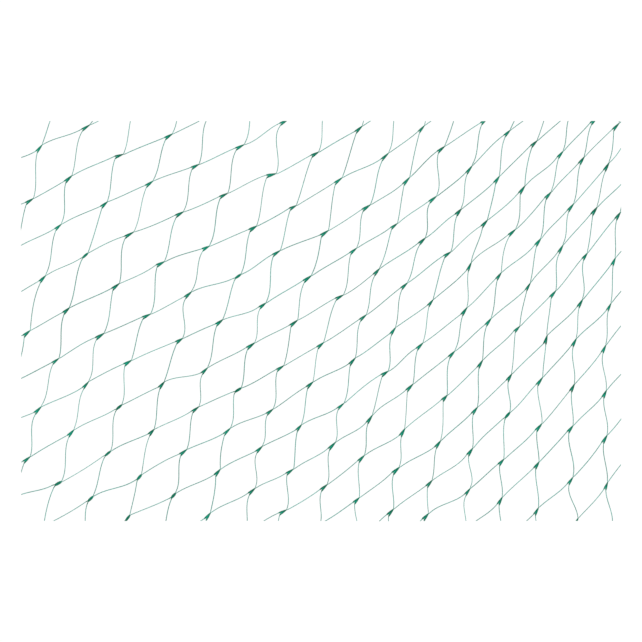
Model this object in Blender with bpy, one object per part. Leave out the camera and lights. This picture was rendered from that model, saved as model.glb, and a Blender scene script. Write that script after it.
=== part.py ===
"""Extruded bird netting: a cut length of diamond mesh, one moulded piece, lying flat on a surface.

Shallow strands climb gently to the right and steep strands climb towards the top. Wherever two of
them meet they merge into a flat, arrow-like joint. Joint (i, j) is the i-th along a shallow strand
and the j-th along a steep one. The origin is under the middle of the cut length, on the surface.
"""

import math

import bmesh
import bpy
import numpy
from mathutils import Vector

# The cut length, in metres
PIECE_WIDTH = 0.240
PIECE_HEIGHT = 0.160
THICKNESS = 0.0010

# The strands: joint number along the strand, then the bar's length or its tilt there
SHALLOW_BAR = 0.020
SHALLOW_TILT = ((-8, 24.5), (-2, 25.5), (9, 49.0))
STEEP_BAR = ((-11, 0.0170), (1, 0.0185), (3, 0.0220))
STEEP_TILT = ((-11, 94.0), (-2, 74.0), (6, 71.0))
FIRST_JOINT = (-0.0104, -0.0005)
SHALLOW_JOINTS = range(-11, 14)
STEEP_JOINTS = range(-14, 11)

# A joint, along its own axis from the notch at its tail to the crotch at its tip
AXIS_SHARE = 0.28
TAIL = 0.0024
TIP = 0.0030
BAR_AT_TAIL = 0.0010
BAR_AT_TIP = 0.0007

# Where handling has drawn the mesh out of line: place, shift and reach
TUGS = (
    ((0.030, -0.020), (-0.0015, -0.0015), 0.035),
    ((-0.075, 0.010), (0.0, 0.0030), 0.025),
    ((0.060, 0.070), (-0.0035, -0.0010), 0.015),
    ((-0.105, 0.070), (-0.0040, -0.0010), 0.015),
    ((-0.045, -0.080), (0.0020, 0.0020), 0.025),
    ((0.045, -0.080), (-0.0015, 0.0035), 0.015),
    ((-0.112, -0.075), (-0.0010, -0.0045), 0.015),
    ((0.115, -0.070), (0.0, -0.0035), 0.015),
)
STRAY = 0.0007
STRAY_SEED = 2623

# The low waves that lift the mesh off the surface: height, length, heading in degrees and start
WAVES = (
    (0.0016, 0.105, 12.0, 0.4),
    (0.0012, 0.074, 108.0, 2.1),
    (0.0006, 0.046, 61.0, 4.0),
)
WAVE_LEVEL = 0.0004

COLOUR = (0.035, 0.105, 0.072, 1.0)
ROUGHNESS = 0.42


def clear_scene():
    for item in list(bpy.data.objects):
        bpy.data.objects.remove(item, do_unlink=True)


def at_stations(stations, number):
    """The value at this joint number, on straight lines between the stations."""
    numbers, values = zip(*stations)
    return float(numpy.interp(number, numbers, values))


def heading(degrees):
    angle = math.radians(degrees)
    return Vector((math.cos(angle), math.sin(angle)))


def left_of(direction):
    return Vector((-direction.y, direction.x))


def strand_steps(joint_numbers, bar_at, tilt_at):
    """How far each joint of a strand lies from joint 0, adding up the bars between them."""
    steps = {0: Vector((0.0, 0.0))}
    for number in range(0, joint_numbers[-1]):
        middle = number + 0.5
        steps[number + 1] = steps[number] + bar_at(middle) * heading(tilt_at(middle))
    for number in range(0, joint_numbers[0], -1):
        middle = number - 0.5
        steps[number - 1] = steps[number] - bar_at(middle) * heading(tilt_at(middle))
    return steps


def tugged(place):
    moved = place.copy()
    for centre, shift, reach in TUGS:
        distance = (place - Vector(centre)).length
        moved += Vector(shift) * math.exp(-0.5 * (distance / reach) ** 2)
    return moved


def joint_places():
    """The middle of every joint, some of them beyond the cut."""
    shallow = strand_steps(
        SHALLOW_JOINTS, lambda n: SHALLOW_BAR, lambda n: at_stations(SHALLOW_TILT, n)
    )
    steep = strand_steps(
        STEEP_JOINTS, lambda n: at_stations(STEEP_BAR, n), lambda n: at_stations(STEEP_TILT, n)
    )
    stray = numpy.random.default_rng(STRAY_SEED)
    places = {}
    for i in SHALLOW_JOINTS:
        for j in STEEP_JOINTS:
            even = Vector(FIRST_JOINT) + shallow[i] + steep[j]
            places[i, j] = tugged(even) + Vector(stray.normal(0.0, STRAY, 2))
    return places


def lift(place):
    """How high the mesh's underside is over the surface. Its troughs lie flat on it."""
    height = WAVE_LEVEL
    for size, length, degrees, start in WAVES:
        height += size * math.sin(2 * math.pi * place.dot(heading(degrees)) / length + start)
    return max(0.0, height)


def inside(place):
    return abs(place.x) < PIECE_WIDTH / 2 and abs(place.y) < PIECE_HEIGHT / 2


def joint_corners(places, joint):
    """A joint's six corners. The notch and the crotch are on its axis, where the bars part."""
    i, j = joint
    here = places[joint]
    shallow_in = (here - places[i - 1, j]).normalized()
    steep_in = (here - places[i, j - 1]).normalized()
    shallow_out = (places[i + 1, j] - here).normalized()
    steep_out = (places[i, j + 1] - here).normalized()
    shallow_through = (shallow_in + shallow_out).normalized()
    steep_through = (steep_in + steep_out).normalized()
    axis = shallow_through.lerp(steep_through, AXIS_SHARE).normalized()
    notch = here - TAIL * axis
    crotch = here + TIP * axis
    return {
        "notch": notch,
        "tail_right": notch - BAR_AT_TAIL * left_of(steep_in),
        "tip_right": crotch - BAR_AT_TIP * left_of(shallow_out),
        "crotch": crotch,
        "tip_left": crotch + BAR_AT_TIP * left_of(steep_out),
        "tail_left": notch + BAR_AT_TAIL * left_of(shallow_in),
    }


def inner_joints():
    """The joints that have neighbours all round."""
    return [(i, j) for i in SHALLOW_JOINTS[1:-1] for j in STEEP_JOINTS[1:-1]]


def mesh_faces(corners):
    """The joints that reach into the cut, and the bars that meet them, as corners to join."""
    kept = {joint for joint in corners if any(map(inside, corners[joint].values()))}
    faces = []
    for i, j in corners:
        here, right, above = (i, j), (i + 1, j), (i, j + 1)
        if here in kept:
            faces.append([(here, name) for name in ("notch", "tail_right", "tip_right", "crotch")])
            faces.append([(here, name) for name in ("crotch", "tip_left", "tail_left", "notch")])
        if here in kept or right in kept:
            faces.append(
                [(here, "tip_right"), (right, "notch"), (right, "tail_left"), (here, "crotch")]
            )
        if here in kept or above in kept:
            faces.append(
                [(here, "crotch"), (above, "tail_right"), (above, "notch"), (here, "tip_left")]
            )
    return faces


def net_mesh(places):
    """The net drawn flat from its joints and bars, laid on the waves and thickened upwards."""
    shape = bmesh.new()
    corners = {joint: joint_corners(places, joint) for joint in inner_joints()}
    vertices = {}
    for face in mesh_faces(corners):
        for joint, name in face:
            if (joint, name) not in vertices:
                place = corners[joint][name]
                vertices[joint, name] = shape.verts.new((place.x, place.y, lift(place)))
        shape.faces.new([vertices[corner] for corner in face])
    upper = bmesh.ops.extrude_face_region(shape, geom=shape.faces[:])["geom"]
    raised = [item for item in upper if isinstance(item, bmesh.types.BMVert)]
    bmesh.ops.translate(shape, verts=raised, vec=(0.0, 0.0, THICKNESS))
    bmesh.ops.recalc_face_normals(shape, faces=shape.faces[:])
    mesh = bpy.data.meshes.new("net")
    shape.to_mesh(mesh)
    shape.free()
    return mesh


def add_object(name, mesh):
    item = bpy.data.objects.new(name, mesh)
    bpy.context.collection.objects.link(item)
    return item


def plastic():
    material = bpy.data.materials.new("green_plastic")
    material.use_nodes = True
    shader = material.node_tree.nodes["Principled BSDF"]
    shader.inputs["Base Color"].default_value = COLOUR
    shader.inputs["Roughness"].default_value = ROUGHNESS
    shader.inputs["Metallic"].default_value = 0.0
    return material


def cut_block():
    """A block as large as the cut length: what lies outside it is cut away."""
    shape = bmesh.new()
    bmesh.ops.create_cube(shape, size=1.0)
    bmesh.ops.scale(shape, vec=(PIECE_WIDTH, PIECE_HEIGHT, PIECE_HEIGHT), verts=shape.verts[:])
    mesh = bpy.data.meshes.new("cut_block")
    shape.to_mesh(mesh)
    shape.free()
    block = add_object("cut_block", mesh)
    block.hide_render = True
    block.display_type = "WIRE"
    return block


def build():
    clear_scene()
    net = add_object("net", net_mesh(joint_places()))
    net.data.materials.append(plastic())
    cut = net.modifiers.new("cut to size", "BOOLEAN")
    cut.operation = "INTERSECT"
    cut.solver = "EXACT"
    cut.object = cut_block()


build()
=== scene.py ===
import math

import bmesh
import bpy
import numpy as np
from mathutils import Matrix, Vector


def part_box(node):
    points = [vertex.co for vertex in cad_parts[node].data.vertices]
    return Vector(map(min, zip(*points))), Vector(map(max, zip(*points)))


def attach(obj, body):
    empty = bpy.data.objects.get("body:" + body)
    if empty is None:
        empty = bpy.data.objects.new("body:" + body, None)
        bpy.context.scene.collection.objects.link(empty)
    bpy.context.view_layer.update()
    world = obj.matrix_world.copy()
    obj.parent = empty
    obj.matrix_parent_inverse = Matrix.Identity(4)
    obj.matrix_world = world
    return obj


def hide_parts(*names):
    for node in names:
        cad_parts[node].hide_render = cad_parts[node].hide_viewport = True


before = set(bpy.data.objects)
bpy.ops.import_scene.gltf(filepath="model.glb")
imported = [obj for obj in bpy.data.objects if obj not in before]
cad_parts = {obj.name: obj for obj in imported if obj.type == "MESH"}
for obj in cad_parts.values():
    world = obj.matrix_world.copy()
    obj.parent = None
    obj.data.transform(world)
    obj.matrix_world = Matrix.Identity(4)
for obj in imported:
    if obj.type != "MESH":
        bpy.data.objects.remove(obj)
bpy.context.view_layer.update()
netLow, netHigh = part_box("net")
print("frame loaded")

mm = 0.001


# Where the joints lie: the same layout as the solid net, in metres and degrees.
# Stations are a joint number along the strand, then the value there.
layout = {
    "shallowBar": 0.020,
    "shallowTilt": ((-8, 24.5), (-2, 25.5), (9, 49.0)),
    "steepBar": ((-11, 0.0170), (1, 0.0185), (3, 0.0220)),
    "steepTilt": ((-11, 94.0), (-2, 74.0), (6, 71.0)),
    "firstJoint": (-0.0104, -0.0005),
    "shallowJoints": range(-11, 14),
    "steepJoints": range(-14, 11),
    "tugs": (  # place, shift and reach
        ((0.030, -0.020), (-0.0015, -0.0015), 0.035),
        ((-0.075, 0.010), (0.0, 0.0030), 0.025),
        ((0.060, 0.070), (-0.0035, -0.0010), 0.015),
        ((-0.105, 0.070), (-0.0040, -0.0010), 0.015),
        ((-0.045, -0.080), (0.0020, 0.0020), 0.025),
        ((0.045, -0.080), (-0.0015, 0.0035), 0.015),
        ((-0.112, -0.075), (-0.0010, -0.0045), 0.015),
        ((0.115, -0.070), (0.0, -0.0035), 0.015),
    ),
    "stray": 0.0007,
    "straySeed": 2623,
    "waves": (  # height, length, heading and start
        (0.0016, 0.105, 12.0, 0.4),
        (0.0012, 0.074, 108.0, 2.1),
        (0.0006, 0.046, 61.0, 4.0),
    ),
    "waveLevel": 0.0004,
}


def unit(vector):
    return vector / np.linalg.norm(vector)


def heading(degrees):
    angle = math.radians(degrees)
    return np.array((math.cos(angle), math.sin(angle)))


def leftOf(direction):
    return np.array((-direction[1], direction[0]))


def turned(direction, degrees):
    angle = math.radians(degrees)
    return math.cos(angle) * direction + math.sin(angle) * leftOf(direction)


def angleBetween(start, end):
    # degrees from start to end, anticlockwise positive
    return math.degrees(math.atan2(leftOf(start) @ end, start @ end))


def nearness(place, centre, reach):
    # 1 at the centre, falling off softly with the reach
    return math.exp(-0.5 * (np.linalg.norm(place - centre) / reach) ** 2)


def smooth(share):
    share = min(1.0, max(0.0, share))
    return share * share * (3 - 2 * share)


def atStations(stations, number):
    numbers, values = zip(*stations)
    return float(np.interp(number, numbers, values))


def strandSteps(joints, barAt, tiltAt):
    # how far each joint of a strand lies from joint 0
    steps = {0: np.zeros(2)}
    for number in range(0, joints[-1]):
        middle = number + 0.5
        steps[number + 1] = steps[number] + barAt(middle) * heading(tiltAt(middle))
    for number in range(0, joints[0], -1):
        middle = number - 0.5
        steps[number - 1] = steps[number] - barAt(middle) * heading(tiltAt(middle))
    return steps


def tugged(place):
    moved = place.copy()
    for centre, shift, reach in layout["tugs"]:
        moved += np.array(shift) * nearness(place, centre, reach)
    return moved


def jointPlaces():
    shallow = strandSteps(
        layout["shallowJoints"],
        lambda n: layout["shallowBar"],
        lambda n: atStations(layout["shallowTilt"], n),
    )
    steep = strandSteps(
        layout["steepJoints"],
        lambda n: atStations(layout["steepBar"], n),
        lambda n: atStations(layout["steepTilt"], n),
    )
    stray = np.random.default_rng(layout["straySeed"])
    places = {}
    for i in layout["shallowJoints"]:
        for j in layout["steepJoints"]:
            even = np.array(layout["firstJoint"]) + shallow[i] + steep[j]
            places[i, j] = tugged(even) + stray.normal(0.0, layout["stray"], 2)
    return places


def lift(x, y):
    # how high the underside is over the surface; the troughs lie flat on it
    height = layout["waveLevel"]
    for size, length, degrees, start in layout["waves"]:
        along = heading(degrees)
        turns = (x * along[0] + y * along[1]) / length
        height += size * math.sin(2 * math.pi * turns + start)
    return max(0.0, height)


# A joint is drawn along its own axis, in millimetres: the strands come in at its notched
# tail, merge into a flat wedge and part again past its tip. Left is +, right is -.
joint = {
    "axisShare": ((-0.12, 0.36), (0.0, 0.23), (0.12, 0.31)),  # from shallow to steep, by x
    "axisStray": 6.0,  # degrees
    "lean": -8.0,  # degrees, how much flatter the joints lie round one place
    "leanPlace": (-0.044, 0.052),
    "leanReach": 0.040,
    "wedge": (  # along the axis, half width, half thickness, thickness left on the axis, drawn
        (-0.80, 0.680, 0.18, 0.50, 0.0),
        (-0.42, 0.660, 0.21, 0.65, 0.0),
        (0.00, 0.600, 0.24, 0.90, 0.0),
        (0.45, 0.520, 0.25, 1.00, 0.0),
        (0.85, 0.440, 0.24, 1.00, 0.0),
        (1.25, 0.360, 0.21, 1.00, 0.0),
        (1.55, 0.295, 0.18, 1.00, 0.0),
        (1.80, 0.250, 0.165, 1.00, 0.15),
        (2.05, 0.215, 0.165, 1.00, 0.45),
    ),
    "notch": 0.25,  # how far the tail's notch cuts in past its first section
    "notchWeb": 0.6,  # how much of a thin film is at the notch
    "crotch": 0.20,  # how far the web between the parting strands reaches out
    "elbows": {  # where each arm bends into its strand: along the axis and sideways
        "shallowIn": (-1.40, 0.43),
        "steepIn": (-1.50, -0.42),
        "shallowOut": (2.30, -0.19),
        "steepOut": (2.35, 0.26),
    },
    "corners": ((-1.2, 0.5), (-1.2, -0.5), (2.2, 0.0)),  # a joint stays if one is in the cut
    "sizeStray": 0.06,
    "seed": 41,
}

# An arm changes from its half of the wedge to the round strand. Each change is a pace and
# a start: pace * share + start, kept from 0 to 1, with share how far out on the arm it is.
arm = {
    "rings": 5,
    "tailRound": (1.6, -0.35),
    "tailDrawn": (2.5, -1.2),
    "tipRound": (1.4, 0.0),
    "tipDrawn": (1.5, 0.5),
}

# Some joints are plain pods, without a notch.
pod = {
    "share": 0.05,
    "place": (-0.084, -0.062),  # most of them are round here
    "reach": 0.0184,
    "shareThere": 1.4,  # past 1 all are pods
    "halfWidth": 0.56,
    "middle": 0.55,
    "halfLength": 1.75,
    "notch": -0.10,  # the tail bulges out instead
    "notchWeb": 0.0,
}

strand = {
    "radius": 0.176,
    "radiusStray": 0.05,
    "rings": 14,  # between two arms
    "carry": 0.15,  # how much of the joint's bend goes on into the strand
    "through": 0.6,  # how far it swings to the mean run of the strand at a joint
    "turn": {"shallow": 2.8, "steep": 5.0},  # degrees, turned alike before and after a joint
    "bend": 2.6,  # degrees, the strand's own bend at each end
    "elbow": 0.55,  # from the elbow to the strand's first ring
    "seed": 97,
}

# The plastic's streaks follow the strands: places in the grain are in millimetres.
grain = {
    "stretch": 0.12,  # the streaks are drawn out along the strand
    "start": 8.0,  # how far apart two joints may lie in the grain
}

roundSides = 8  # of a strand and an arm, as many as half a wedge has
flatSides = 12  # of the wedge, from its left edge over the top
axisPoints = (3, 9)  # the wedge's points on its axis, top and bottom
leftHalf = (0, 1, 2, 3, None, 9, 10, 11)  # None is the point where the arms part
rightHalf = (None, 3, 4, 5, 6, 7, 8, 9)


def ellipse(sides, width, height):
    angles = [2 * math.pi * k / sides for k in range(sides)]
    return np.array([(width * math.cos(a), height * math.sin(a)) for a in angles])


roundSection = ellipse(roundSides, 1.0, 1.0)


def bodySection(width, height, onAxis):
    points = ellipse(flatSides, width, height)
    points[list(axisPoints), 1] *= onAxis
    return points


def grainAt(here, along, across=0.0):
    return here.grain + np.array((along * grain["stretch"], across, 0.0))


class NetMesh:
    def __init__(self):
        self.points = []
        self.drawn = []
        self.web = []
        self.tone = []
        self.grain = []
        self.faces = []

    def addPoint(self, place, height, drawn, web, tone, inGrain):
        x, y = place
        self.points.append((x, y, lift(x, y) + height))
        self.drawn.append(drawn)
        self.web.append(web)
        self.tone.append(tone)
        self.grain.append(inGrain)
        return len(self.points) - 1

    def addRing(self, centre, left, section, drawn, tone, inGrain, web=None):
        # the section's points are sideways and up; its lowest point meets the lift
        floorGap = -section[:, 1].min()
        web = web or [0.0] * len(section)
        ring = []
        for (across, up), film in zip(section, web):
            place = centre + left * across
            there = inGrain + np.array((0.0, across / mm, up / mm))
            ring.append(self.addPoint(place, floorGap + up, drawn, film, tone, there))
        return ring

    def bridge(self, first, second):
        count = len(first)
        for k in range(count):
            n = (k + 1) % count
            self.faces.append((first[k], first[n], second[n], second[k]))


def runThrough(before, here, after):
    # the mean way a strand runs at a joint
    return unit(unit(here - before) + unit(after - here))


class Joint:
    def __init__(self, places, number, random):
        i, j = number
        self.place = places[number]
        self.through = {
            "shallow": runThrough(places[i - 1, j], self.place, places[i + 1, j]),
            "steep": runThrough(places[i, j - 1], self.place, places[i, j + 1]),
        }
        share = atStations(joint["axisShare"], self.place[0])
        opening = angleBetween(self.through["shallow"], self.through["steep"])
        stray = random.normal(0.0, joint["axisStray"])
        lean = joint["lean"] * nearness(self.place, joint["leanPlace"], joint["leanReach"])
        self.axis = turned(self.through["shallow"], share * opening + lean + stray)
        self.left = leftOf(self.axis)
        self.turn = {kind: random.normal(0.0, strand["turn"][kind]) for kind in self.through}
        self.long = mm * (1 + random.normal(0.0, joint["sizeStray"]))
        self.wide = mm * (1 + random.normal(0.0, joint["sizeStray"]))
        there = pod["shareThere"] * nearness(self.place, pod["place"], pod["reach"])
        self.isPod = random.random() < max(pod["share"], there)
        self.tone = random.normal(0.0, 1.0)
        self.grain = random.uniform(0.0, grain["start"], 3)

    def at(self, along, across):
        return self.place + self.long * along * self.axis + self.wide * across * self.left

    def elbow(self, name):
        return self.at(*joint["elbows"][name])


class Bar:
    # the strand from one joint to the next
    def __init__(self, start, end, kind, random):
        self.kind = kind
        self.startElbow = start.elbow(kind + "Out")
        self.endElbow = end.elbow(kind + "In")
        straight = unit(self.endElbow - self.startElbow)
        self.out = turned(straight, self.bendAt(start, straight, random))
        self.into = turned(straight, self.bendAt(end, straight, random))
        self.start = self.startElbow + strand["elbow"] * mm * self.out
        self.end = self.endElbow - strand["elbow"] * mm * self.into
        self.radius = strand["radius"] * mm * (1 + random.normal(0.0, strand["radiusStray"]))
        self.tone = random.normal(0.0, 1.0)

    def bendAt(self, here, straight, random):
        # a strand runs on through its joint, so it turns alike on both sides of it
        carried = strand["carry"] * angleBetween(straight, here.axis)
        smoothed = strand["through"] * angleBetween(straight, here.through[self.kind])
        return carried + smoothed + here.turn[self.kind] + random.normal(0.0, strand["bend"])

    def at(self, share):
        # a place on the cubic curve from start to end, and the way it runs there
        reach = np.linalg.norm(self.end - self.start) / 3
        corners = (
            self.start,
            self.start + reach * self.out,
            self.end - reach * self.into,
            self.end,
        )
        rest = 1 - share
        weights = (rest**3, 3 * rest**2 * share, 3 * rest * share**2, share**3)
        slopes = (
            -3 * rest**2,
            3 * rest**2 - 6 * rest * share,
            6 * rest * share - 3 * share**2,
            3 * share**2,
        )
        place = sum(w * c for w, c in zip(weights, corners))
        return place, unit(sum(s * c for s, c in zip(slopes, corners)))


def changed(name, share):
    pace, start = arm[name]
    return smooth(pace * share + start)


def addArm(net, here, bar, end, half):
    # from a half of the wedge's end section, round the elbow, to the strand's first ring
    ring, points, section = half
    atTail = end == "tail"
    elbow = bar.endElbow if atTail else bar.startElbow
    last = bar.end if atTail else bar.start
    onward = -1 if atTail else 1  # with the joint's axis or against it
    offAxis = section.mean(axis=0)[0]
    first = here.at(ring, 0.0) + here.left * offAxis
    shape = section - np.array((offAxis, 0.0))
    reach = (np.linalg.norm(elbow - first) + np.linalg.norm(last - elbow)) / mm
    for step in range(1, arm["rings"] + 1):
        share = step / arm["rings"]
        rest = 1 - share
        centre = rest**2 * first + 2 * rest * share * elbow + share**2 * last
        along = onward * unit(rest * (elbow - first) + share * (last - elbow))
        blend = changed(end + "Round", share)
        outline = (1 - blend) * shape + blend * bar.radius * roundSection
        drawn = changed(end + "Drawn", share)
        inGrain = grainAt(here, ring + onward * share * reach, offAxis / mm)
        new = net.addRing(centre, leftOf(along), outline, drawn, here.tone, inGrain)
        if atTail:
            net.bridge(new, points)
        else:
            net.bridge(points, new)
        points = new
    return points, inGrain


def addWedge(net, here):
    rings = []
    for along, width, height, onAxis, drawn in joint["wedge"]:
        if here.isPod:
            onAxis = 1.0
            fromMiddle = (along - pod["middle"]) / pod["halfLength"]
            width = pod["halfWidth"] * math.sqrt(1 - fromMiddle**2)
        section = bodySection(width * here.wide, height * mm, onAxis)
        film = smooth(2 * (1 - onAxis))
        web = [film if k in axisPoints else 0.0 for k in range(flatSides)]
        centre = here.at(along, 0.0)
        inGrain = grainAt(here, along)
        ring = net.addRing(centre, here.left, section, drawn, here.tone, inGrain, web)
        rings.append((along, ring, section))
    for (_, first, _), (_, second, _) in zip(rings, rings[1:]):
        net.bridge(first, second)
    return rings


def halves(net, here, end, reach, web):
    # the end section's two halves, which share one point on the axis
    along, ring, section = end
    height = section[:, 1].max()
    place = here.at(along, 0.0) + here.axis * reach * mm
    shared = net.addPoint(place, height, 0.0, web, here.tone, grainAt(here, along))
    both = []
    for names in (leftHalf, rightHalf):
        points = [shared if name is None else ring[name] for name in names]
        outline = [(0.0, 0.0) if name is None else section[name] for name in names]
        both.append((along, points, np.array(outline)))
    return both


def addJoint(net, here, bars):
    # the wedge and its four arms; gives each arm's last ring
    rings = addWedge(net, here)
    shape = pod if here.isPod else joint
    tail = halves(net, here, rings[0], shape["notch"], shape["notchWeb"])
    tip = halves(net, here, rings[-1], joint["crotch"], 0.0)
    ends = {}
    for name, half in zip(("shallowIn", "steepIn"), tail):
        ends[name] = addArm(net, here, bars[name], "tail", half)
    for name, half in zip(("steepOut", "shallowOut"), tip):
        ends[name] = addArm(net, here, bars[name], "tip", half)
    return ends


def addStrand(net, bar, start, end):
    previous, grainStart = start
    last, grainEnd = end
    outline = bar.radius * roundSection
    for step in range(1, strand["rings"]):
        share = step / strand["rings"]
        centre, along = bar.at(share)
        inGrain = grainStart + share * (grainEnd - grainStart)
        new = net.addRing(centre, leftOf(along), outline, 1.0, bar.tone, inGrain)
        net.bridge(previous, new)
        previous = new
    net.bridge(previous, last)


def insideCut(place):
    return netLow.x < place[0] < netHigh.x and netLow.y < place[1] < netHigh.y


def nextJoint(kind, number):
    i, j = number
    return (i + 1, j) if kind == "shallow" else (i, j + 1)


def netShape():
    places = jointPlaces()
    random = np.random.default_rng(joint["seed"])
    joints = {
        (i, j): Joint(places, (i, j), random)
        for i in layout["shallowJoints"][1:-1]
        for j in layout["steepJoints"][1:-1]
    }
    random = np.random.default_rng(strand["seed"])
    bars = {}
    for number in joints:
        for kind in ("shallow", "steep"):
            to = nextJoint(kind, number)
            if to in joints:
                bars[kind, number] = Bar(joints[number], joints[to], kind, random)
    kept = {
        number
        for number, here in joints.items()
        if any(insideCut(here.at(*corner)) for corner in joint["corners"])
    }
    net = NetMesh()
    ends = {}
    for number, here in joints.items():
        i, j = number
        neighbours = {(i + 1, j), (i, j + 1), (i - 1, j), (i, j - 1)}
        if number not in kept and not neighbours & kept:
            continue
        around = {
            "shallowIn": bars.get(("shallow", (i - 1, j))),
            "steepIn": bars.get(("steep", (i, j - 1))),
            "shallowOut": bars.get(("shallow", number)),
            "steepOut": bars.get(("steep", number)),
        }
        if None not in around.values():
            ends[number] = addJoint(net, here, around)
    for (kind, number), bar in bars.items():
        to = nextJoint(kind, number)
        if number in kept or to in kept:
            addStrand(net, bar, ends[number][kind + "Out"], ends[to][kind + "In"])
    return net


def cutToSize(shape):
    # cuts the net square along its four sides and closes the cut strands
    sidesOfCut = (
        ((netLow.x, 0, 0), (-1, 0, 0)),
        ((netHigh.x, 0, 0), (1, 0, 0)),
        ((0, netLow.y, 0), (0, -1, 0)),
        ((0, netHigh.y, 0), (0, 1, 0)),
    )
    for place, outwards in sidesOfCut:
        everything = shape.verts[:] + shape.edges[:] + shape.faces[:]
        cut = bmesh.ops.bisect_plane(
            shape, geom=everything, plane_co=place, plane_no=outwards, clear_outer=True
        )["geom_cut"]
        edges = [item for item in cut if isinstance(item, bmesh.types.BMEdge)]
        bmesh.ops.edgeloop_fill(shape, edges=edges)


def addObject(name, mesh):
    item = bpy.data.objects.new(name, mesh)
    bpy.context.collection.objects.link(item)
    return item


def makeNet():
    net = netShape()
    mesh = bpy.data.meshes.new("net_drawn")
    mesh.from_pydata(net.points, [], net.faces)
    for name, values in (("drawn", net.drawn), ("web", net.web), ("tone", net.tone)):
        attribute = mesh.attributes.new(name, "FLOAT", "POINT")
        attribute.data.foreach_set("value", np.array(values, np.float32))
    attribute = mesh.attributes.new("grain", "FLOAT_VECTOR", "POINT")
    attribute.data.foreach_set("vector", np.array(net.grain, np.float32).ravel())
    shape = bmesh.new()
    shape.from_mesh(mesh)
    cutToSize(shape)
    bmesh.ops.recalc_face_normals(shape, faces=shape.faces[:])
    shape.to_mesh(mesh)
    shape.free()
    mesh.shade_smooth()
    return addObject("net_drawn", mesh)


netPiece = makeNet()
print("net made:", len(netPiece.data.polygons), "faces")


class Value:
    # a shader socket that can stand in an expression
    def __init__(self, paint, socket):
        self.paint = paint
        self.socket = socket

    def combined(self, operation, first, second):
        inputs = {0: first, 1: second}
        return self.paint.add("ShaderNodeMath", {"operation": operation}, inputs)

    def __add__(self, other):
        return self.combined("ADD", self, other)

    __radd__ = __add__

    def __sub__(self, other):
        return self.combined("SUBTRACT", self, other)

    def __rsub__(self, other):
        return self.combined("SUBTRACT", other, self)

    def __mul__(self, other):
        return self.combined("MULTIPLY", self, other)

    __rmul__ = __mul__


class Paint:
    # the nodes of a material or of the world
    def __init__(self, owner, shader):
        owner.use_nodes = True
        self.owner = owner
        self.tree = owner.node_tree
        self.shader = self.tree.nodes[shader]

    def add(self, kind, settings=None, inputs=None, output=0):
        node = self.tree.nodes.new(kind)
        for name, value in (settings or {}).items():
            setattr(node, name, value)
        for name, value in (inputs or {}).items():
            self.put(node.inputs[name], value)
        return Value(self, node.outputs[output])

    def put(self, socket, value):
        if isinstance(value, Value):
            self.tree.links.new(value.socket, socket)
        else:
            socket.default_value = value

    def finish(self, inputs):
        for name, value in inputs.items():
            self.put(self.shader.inputs[name], value)
        return self.owner

    def attribute(self, name, output="Fac"):
        return self.add("ShaderNodeAttribute", {"attribute_name": name}, output=output)

    def noise(self, place, scale, detail):
        inputs = {"Vector": place, "Scale": scale, "Detail": detail}
        return self.add("ShaderNodeTexNoise", None, inputs)

    def ramp(self, value, start, end, low, high):
        inputs = {"Value": value, "From Min": start, "From Max": end, "To Min": low, "To Max": high}
        return self.add("ShaderNodeMapRange", {"interpolation_type": "SMOOTHSTEP"}, inputs)

    def mixed(self, share, first, second):
        inputs = {0: share, 6: first, 7: second}
        return self.add("ShaderNodeMix", {"data_type": "RGBA"}, inputs, output=2)


def newMaterial(name):
    return Paint(bpy.data.materials.new(name), "Principled BSDF")


plastic = {
    "thick": (0.000, 0.110, 0.060, 1.0),  # the joints, from deep to pale
    "thickPale": (0.000, 0.225, 0.138, 1.0),
    "web": (0.002, 0.360, 0.230, 1.0),  # the thin film in a joint's tail
    "thin": (0.080, 0.265, 0.215, 1.0),  # the drawn strands, from deep to pale
    "thinPale": (0.185, 0.455, 0.400, 1.0),
    "scuff": (0.120, 0.420, 0.340, 1.0),
    "toneSpread": 0.18,  # from one strand or joint to the next
    "patches": 420.0,  # clouding, to the metre
    "patchDetail": 3.0,
    "patchSpread": 1.4,
    "streaks": 5.0,  # drawn lines, to the millimetre across
    "streakDetail": 2.0,
    "streakSpread": 2.0,
    "scuffs": 2600.0,  # to the metre
    "scuffDetail": 4.0,
    "scuffEdge": (0.66, 0.74),
    "scuffShare": 0.25,
    "roughness": 0.40,
    "roughSpread": 0.24,
    "scuffRough": 0.3,
    "shine": 0.16,
    "lineDepth": 0.00002,
    "lineStrength": 0.8,
    "speckDepth": 0.3,  # beside a streak's
}


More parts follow.
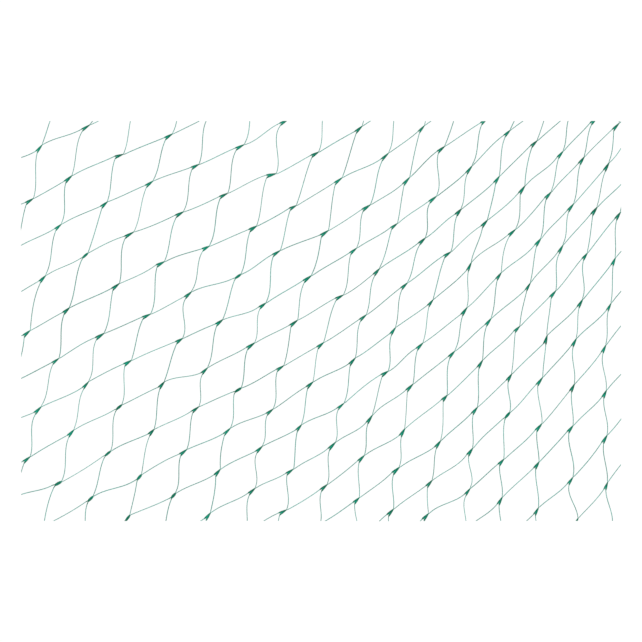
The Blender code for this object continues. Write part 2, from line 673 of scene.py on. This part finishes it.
def netPlastic():
    paint = newMaterial("drawn_green_plastic")
    drawn = paint.attribute("drawn")
    web = paint.attribute("web")
    tone = paint.attribute("tone")
    place = paint.add("ShaderNodeTexCoord", output="Object")
    patches = paint.noise(place, plastic["patches"], plastic["patchDetail"])
    streaks = paint.noise(
        paint.attribute("grain", "Vector"), plastic["streaks"], plastic["streakDetail"]
    )
    specks = paint.noise(place, plastic["scuffs"], plastic["scuffDetail"])
    scuffs = paint.ramp(specks, *plastic["scuffEdge"], 0.0, plastic["scuffShare"])
    pale = 0.5 + plastic["toneSpread"] * tone
    pale = pale + plastic["patchSpread"] * (patches - 0.5)
    pale = pale + plastic["streakSpread"] * (streaks - 0.5)
    thick = paint.mixed(pale, plastic["thick"], plastic["thickPale"])
    thick = paint.mixed(web, thick, plastic["web"])
    thin = paint.mixed(pale, plastic["thin"], plastic["thinPale"])
    colour = paint.mixed(drawn, thick, thin)
    colour = paint.mixed(scuffs * (1 - web), colour, plastic["scuff"])
    rough = plastic["roughness"] + plastic["roughSpread"] * patches
    rough = rough + plastic["scuffRough"] * scuffs
    lines = paint.add(
        "ShaderNodeBump",
        None,
        {
            "Strength": plastic["lineStrength"],
            "Distance": plastic["lineDepth"],
            "Height": streaks + plastic["speckDepth"] * specks,
        },
    )
    return paint.finish(
        {
            "Base Color": colour,
            "Roughness": rough,
            "Specular IOR Level": plastic["shine"],
            "Normal": lines,
        }
    )


netPiece.data.materials.append(netPlastic())
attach(netPiece, "root")
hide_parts("net")
print("net painted")


studio = {
    "viewWidth": 0.2568,  # how much the camera sees across, at the net
    "cameraHeight": 1.8,
    "aimHeight": 0.0015,  # the middle of the net's waves
    "farthest": 50.0,
    "sensor": 36.0,
    "floor": 12.0,
    "floorDrop": 0.00002,  # keeps the floor just under the net's flat troughs
    "floorColour": (0.08, 0.08, 0.08, 1.0),
    "floorRoughness": 0.9,
    "floorGlow": 0.94,  # a lit floor, nearly without shadows
    "light": (1.0, 1.0, 1.0, 1.0),
    "walls": 1.1,
    "ceiling": 0.10,
    "wallTop": (0.35, 0.85),  # where the walls fade into the ceiling
    "lamps": (20.0, 140.0, 260.0),  # headings round the object
    "lampTilt": 40.0,  # degrees from straight above
    "lampAngle": 50.0,  # how broad a lamp looks
    "lampStrength": 0.90,
}


def makeFloor():
    shape = bmesh.new()
    bmesh.ops.create_grid(shape, x_segments=1, y_segments=1, size=studio["floor"] / 2)
    mesh = bpy.data.meshes.new("floor")
    shape.to_mesh(mesh)
    shape.free()
    floor = addObject("floor", mesh)
    floor.location.z = -studio["floorDrop"]
    paint = newMaterial("pale_floor")
    mesh.materials.append(
        paint.finish(
            {
                "Base Color": studio["floorColour"],
                "Roughness": studio["floorRoughness"],
                "Specular IOR Level": 0.0,
                "Emission Color": studio["light"],
                "Emission Strength": studio["floorGlow"],
            }
        )
    )


def makeSky():
    # bright walls all round and a dark ceiling
    world = bpy.data.worlds.new("studio")
    bpy.context.scene.world = world
    paint = Paint(world, "Background")
    direction = paint.add("ShaderNodeTexCoord", output="Generated")
    up = paint.add("ShaderNodeSeparateXYZ", None, {"Vector": direction}, output="Z")
    fade = paint.ramp(up, *studio["wallTop"], studio["walls"], studio["ceiling"])
    paint.finish({"Color": studio["light"], "Strength": fade})


def makeLamps():
    for number, around in enumerate(studio["lamps"]):
        data = bpy.data.lights.new(f"lamp_{number}", "SUN")
        data.energy = studio["lampStrength"]
        data.angle = math.radians(studio["lampAngle"])
        lamp = addObject(f"lamp_{number}", data)
        lamp.rotation_euler = (math.radians(studio["lampTilt"]), 0.0, math.radians(around))


def makeCamera():
    data = bpy.data.cameras.new("camera")
    data.sensor_width = studio["sensor"]
    data.lens = studio["sensor"] * studio["cameraHeight"] / studio["viewWidth"]
    data.clip_end = studio["farthest"]
    camera = addObject("camera", data)
    camera.location = (0.0, 0.0, studio["cameraHeight"] + studio["aimHeight"])
    bpy.context.scene.camera = camera


makeFloor()
makeSky()
makeLamps()
makeCamera()
bpy.context.scene.view_settings.view_transform = "Standard"
print("studio ready")
